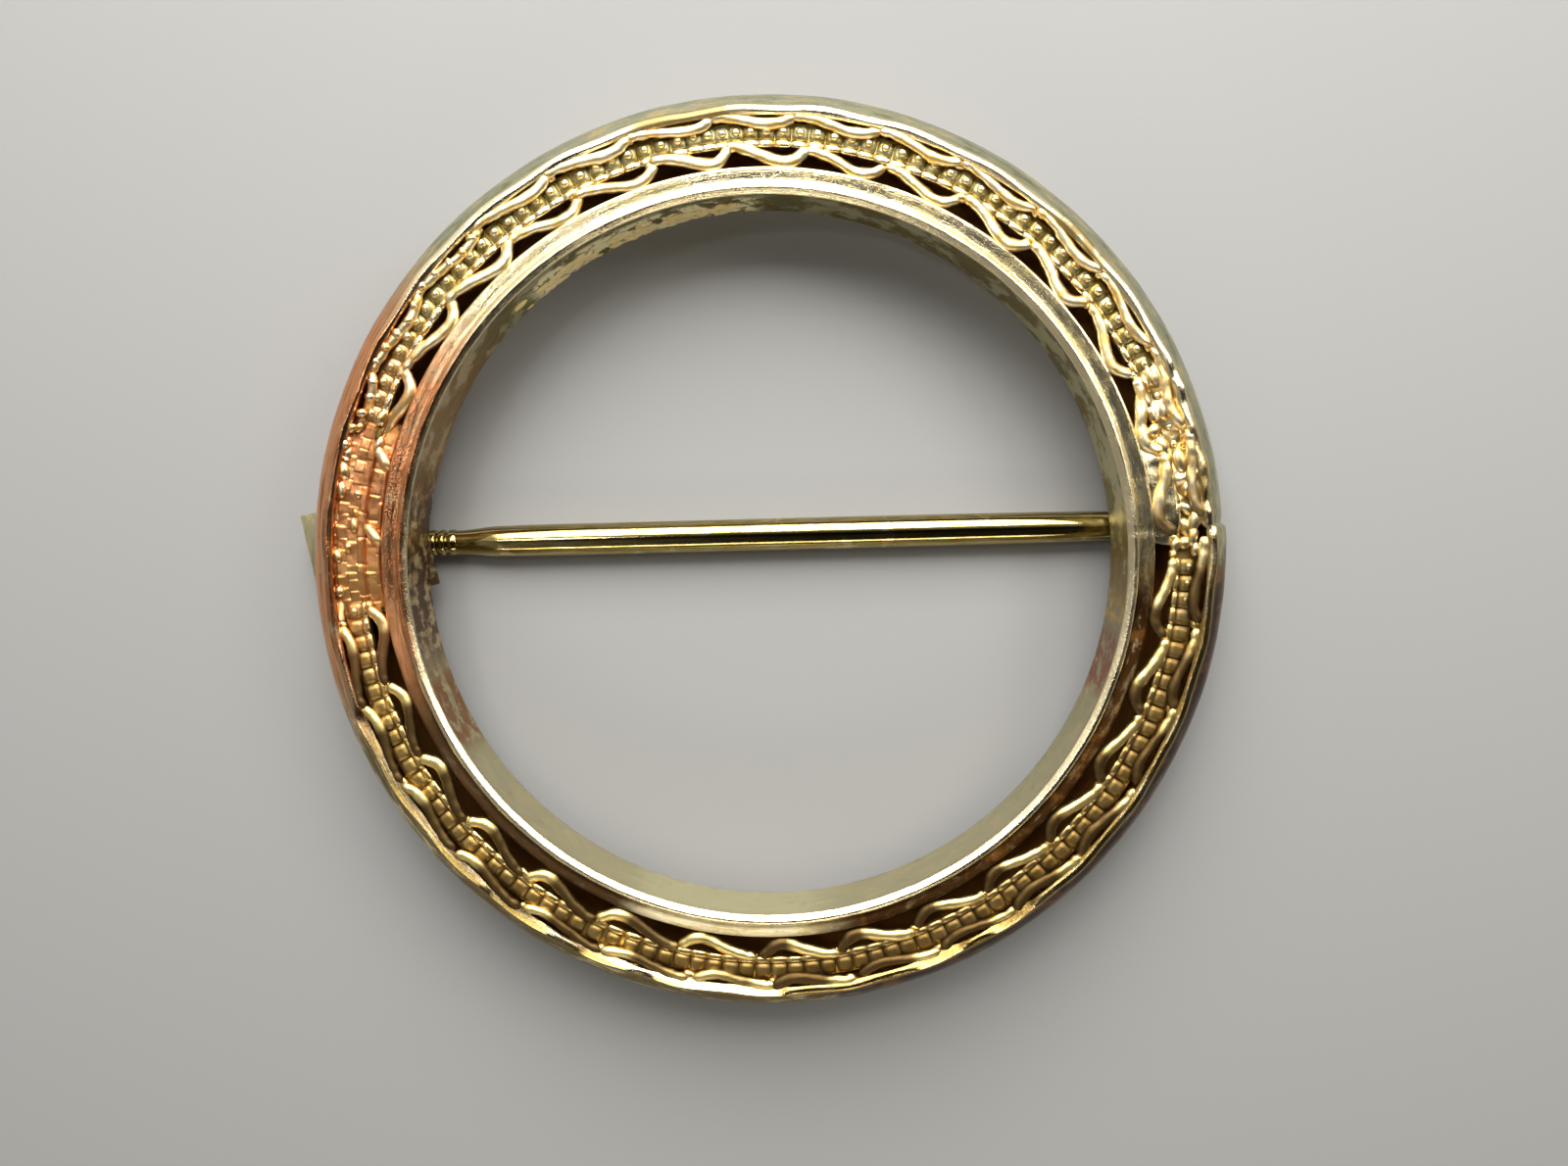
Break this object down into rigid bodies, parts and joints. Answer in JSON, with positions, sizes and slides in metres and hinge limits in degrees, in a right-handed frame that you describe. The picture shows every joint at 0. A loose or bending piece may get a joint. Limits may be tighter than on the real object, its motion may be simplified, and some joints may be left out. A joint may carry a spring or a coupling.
{
  "type": "circle brooch",
  "caption": "Hollow round wreath brooch with a pierced filigree front, square beads between two rows of waves, and a hinged pin across its back.",
  "frame": {"origin": "middle of the outline, on the surface that the brooch lies on with its front up", "axes": "+X along the pin from its hinge to its catch, +Y up as worn, +Z out of the front"},
  "size_m": [0.0322, 0.031, 0.0039],
  "materials": {
    "ring_gold": "polished",
    "filigree_gold": "satin",
    "pin_gold": "polished"
  },
  "bodies": {
    "brooch": {"ring_frame": "ring_gold", "filigree_band": "filigree_gold", "hinge_rivet": "ring_gold"},
    "pin": {"pin_stem": "pin_gold"}
  },
  "joints": [
    {"name": "pin_hinge", "type": "hinge", "parent": "brooch", "child": "pin", "pos_m": [-0.01322, 0.00084, 0.00062], "axis": [0, 1, 0], "range_deg": [0, 110]}
  ]
}
